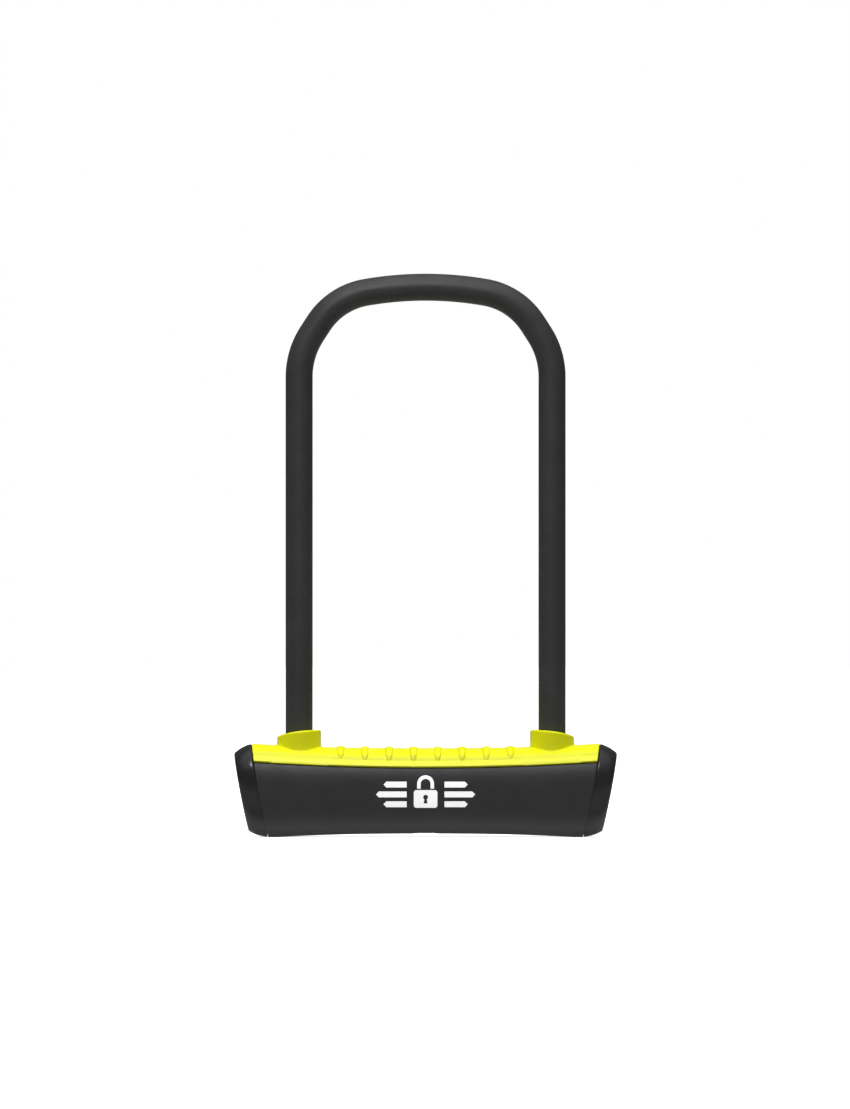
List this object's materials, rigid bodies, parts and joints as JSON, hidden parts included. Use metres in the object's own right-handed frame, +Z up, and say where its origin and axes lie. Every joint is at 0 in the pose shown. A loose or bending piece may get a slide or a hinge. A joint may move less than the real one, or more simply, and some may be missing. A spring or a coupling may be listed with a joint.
{
  "type": "u lock",
  "caption": "Bicycle U lock with a vinyl-covered steel shackle, a crossbar with a ribbed yellow grip strip and collars, and a key-driven double bolt; rests unlocked.",
  "frame": {"origin": "middle of the bounding box, at the surface that the crossbar's two end lands stand on", "axes": "+X along the crossbar to the picture's right, -Y towards the viewer of the picture, +Z up along the shackle's legs"},
  "size_m": [0.1948, 0.038, 0.2867],
  "materials": {
    "steel": "brushed",
    "hard_steel": "ground, oiled",
    "brass": "turned",
    "zinc": "die cast",
    "black_plastic": "satin, finely grained",
    "black_gloss": "semi-gloss",
    "black_vinyl": "smooth satin vinyl",
    "yellow_plastic": "satin, rubbery",
    "grey_plastic": "moulded",
    "rubber": "matt"
  },
  "bodies": {
    "crossbar": {"body_shell": "black_plastic", "grip_strip": "yellow_plastic", "end_cap_left": "black_gloss", "end_cap_right": "black_gloss", "crossbar_tube": "steel", "end_plug_left": "steel", "end_plug_right": "steel", "end_pin_left": "hard_steel", "end_pin_right": "hard_steel", "leg_block_left": "zinc", "leg_block_right": "zinc", "foot_pad_left": "rubber", "foot_pad_right": "rubber", "lock_case_lower": "zinc", "lock_case_cover": "zinc", "case_screw_1": "hard_steel", "case_screw_2": "hard_steel", "case_screw_3": "hard_steel", "case_screw_4": "hard_steel", "cylinder_housing": "brass", "housing_pin_left": "hard_steel", "housing_pin_right": "hard_steel", "keyway_bezel": "grey_plastic"},
    "shackle": {"shackle_bar": "steel", "shackle_sleeve": "black_vinyl"},
    "lock_core": {"key_plug": "brass", "lock_disc_1": "steel", "lock_disc_2": "steel", "lock_disc_3": "steel", "lock_disc_4": "steel", "lock_disc_5": "steel", "bolt_cam": "hard_steel"},
    "left_bolt": {"bolt_left": "hard_steel"},
    "right_bolt": {"bolt_right": "hard_steel"},
    "shutter": {"dust_shutter": "zinc"}
  },
  "joints": [
    {"name": "shackle_lift", "type": "slide", "parent": "crossbar", "child": "shackle", "axis": [0, 0, 1], "range_m": [0, 0.065]},
    {"name": "key_turn", "type": "hinge", "parent": "crossbar", "child": "lock_core", "pos_m": [0, 0, 0.012], "axis": [0, 0, 1], "range_deg": [0, 90]},
    {"name": "left_bolt_slide", "type": "slide", "parent": "crossbar", "child": "left_bolt", "axis": [-1, 0, 0], "range_m": [0, 0.0055]},
    {"name": "right_bolt_slide", "type": "slide", "parent": "crossbar", "child": "right_bolt", "axis": [1, 0, 0], "range_m": [0, 0.0055]},
    {"name": "shutter_slide", "type": "slide", "parent": "crossbar", "child": "shutter", "axis": [1, 0, 0], "range_m": [0, 0.0062]}
  ],
  "couplings": [
    {"joint": "left_bolt_slide", "follows": "key_turn", "m_per_rad": 0.0035},
    {"joint": "right_bolt_slide", "follows": "key_turn", "m_per_rad": 0.0035}
  ]
}
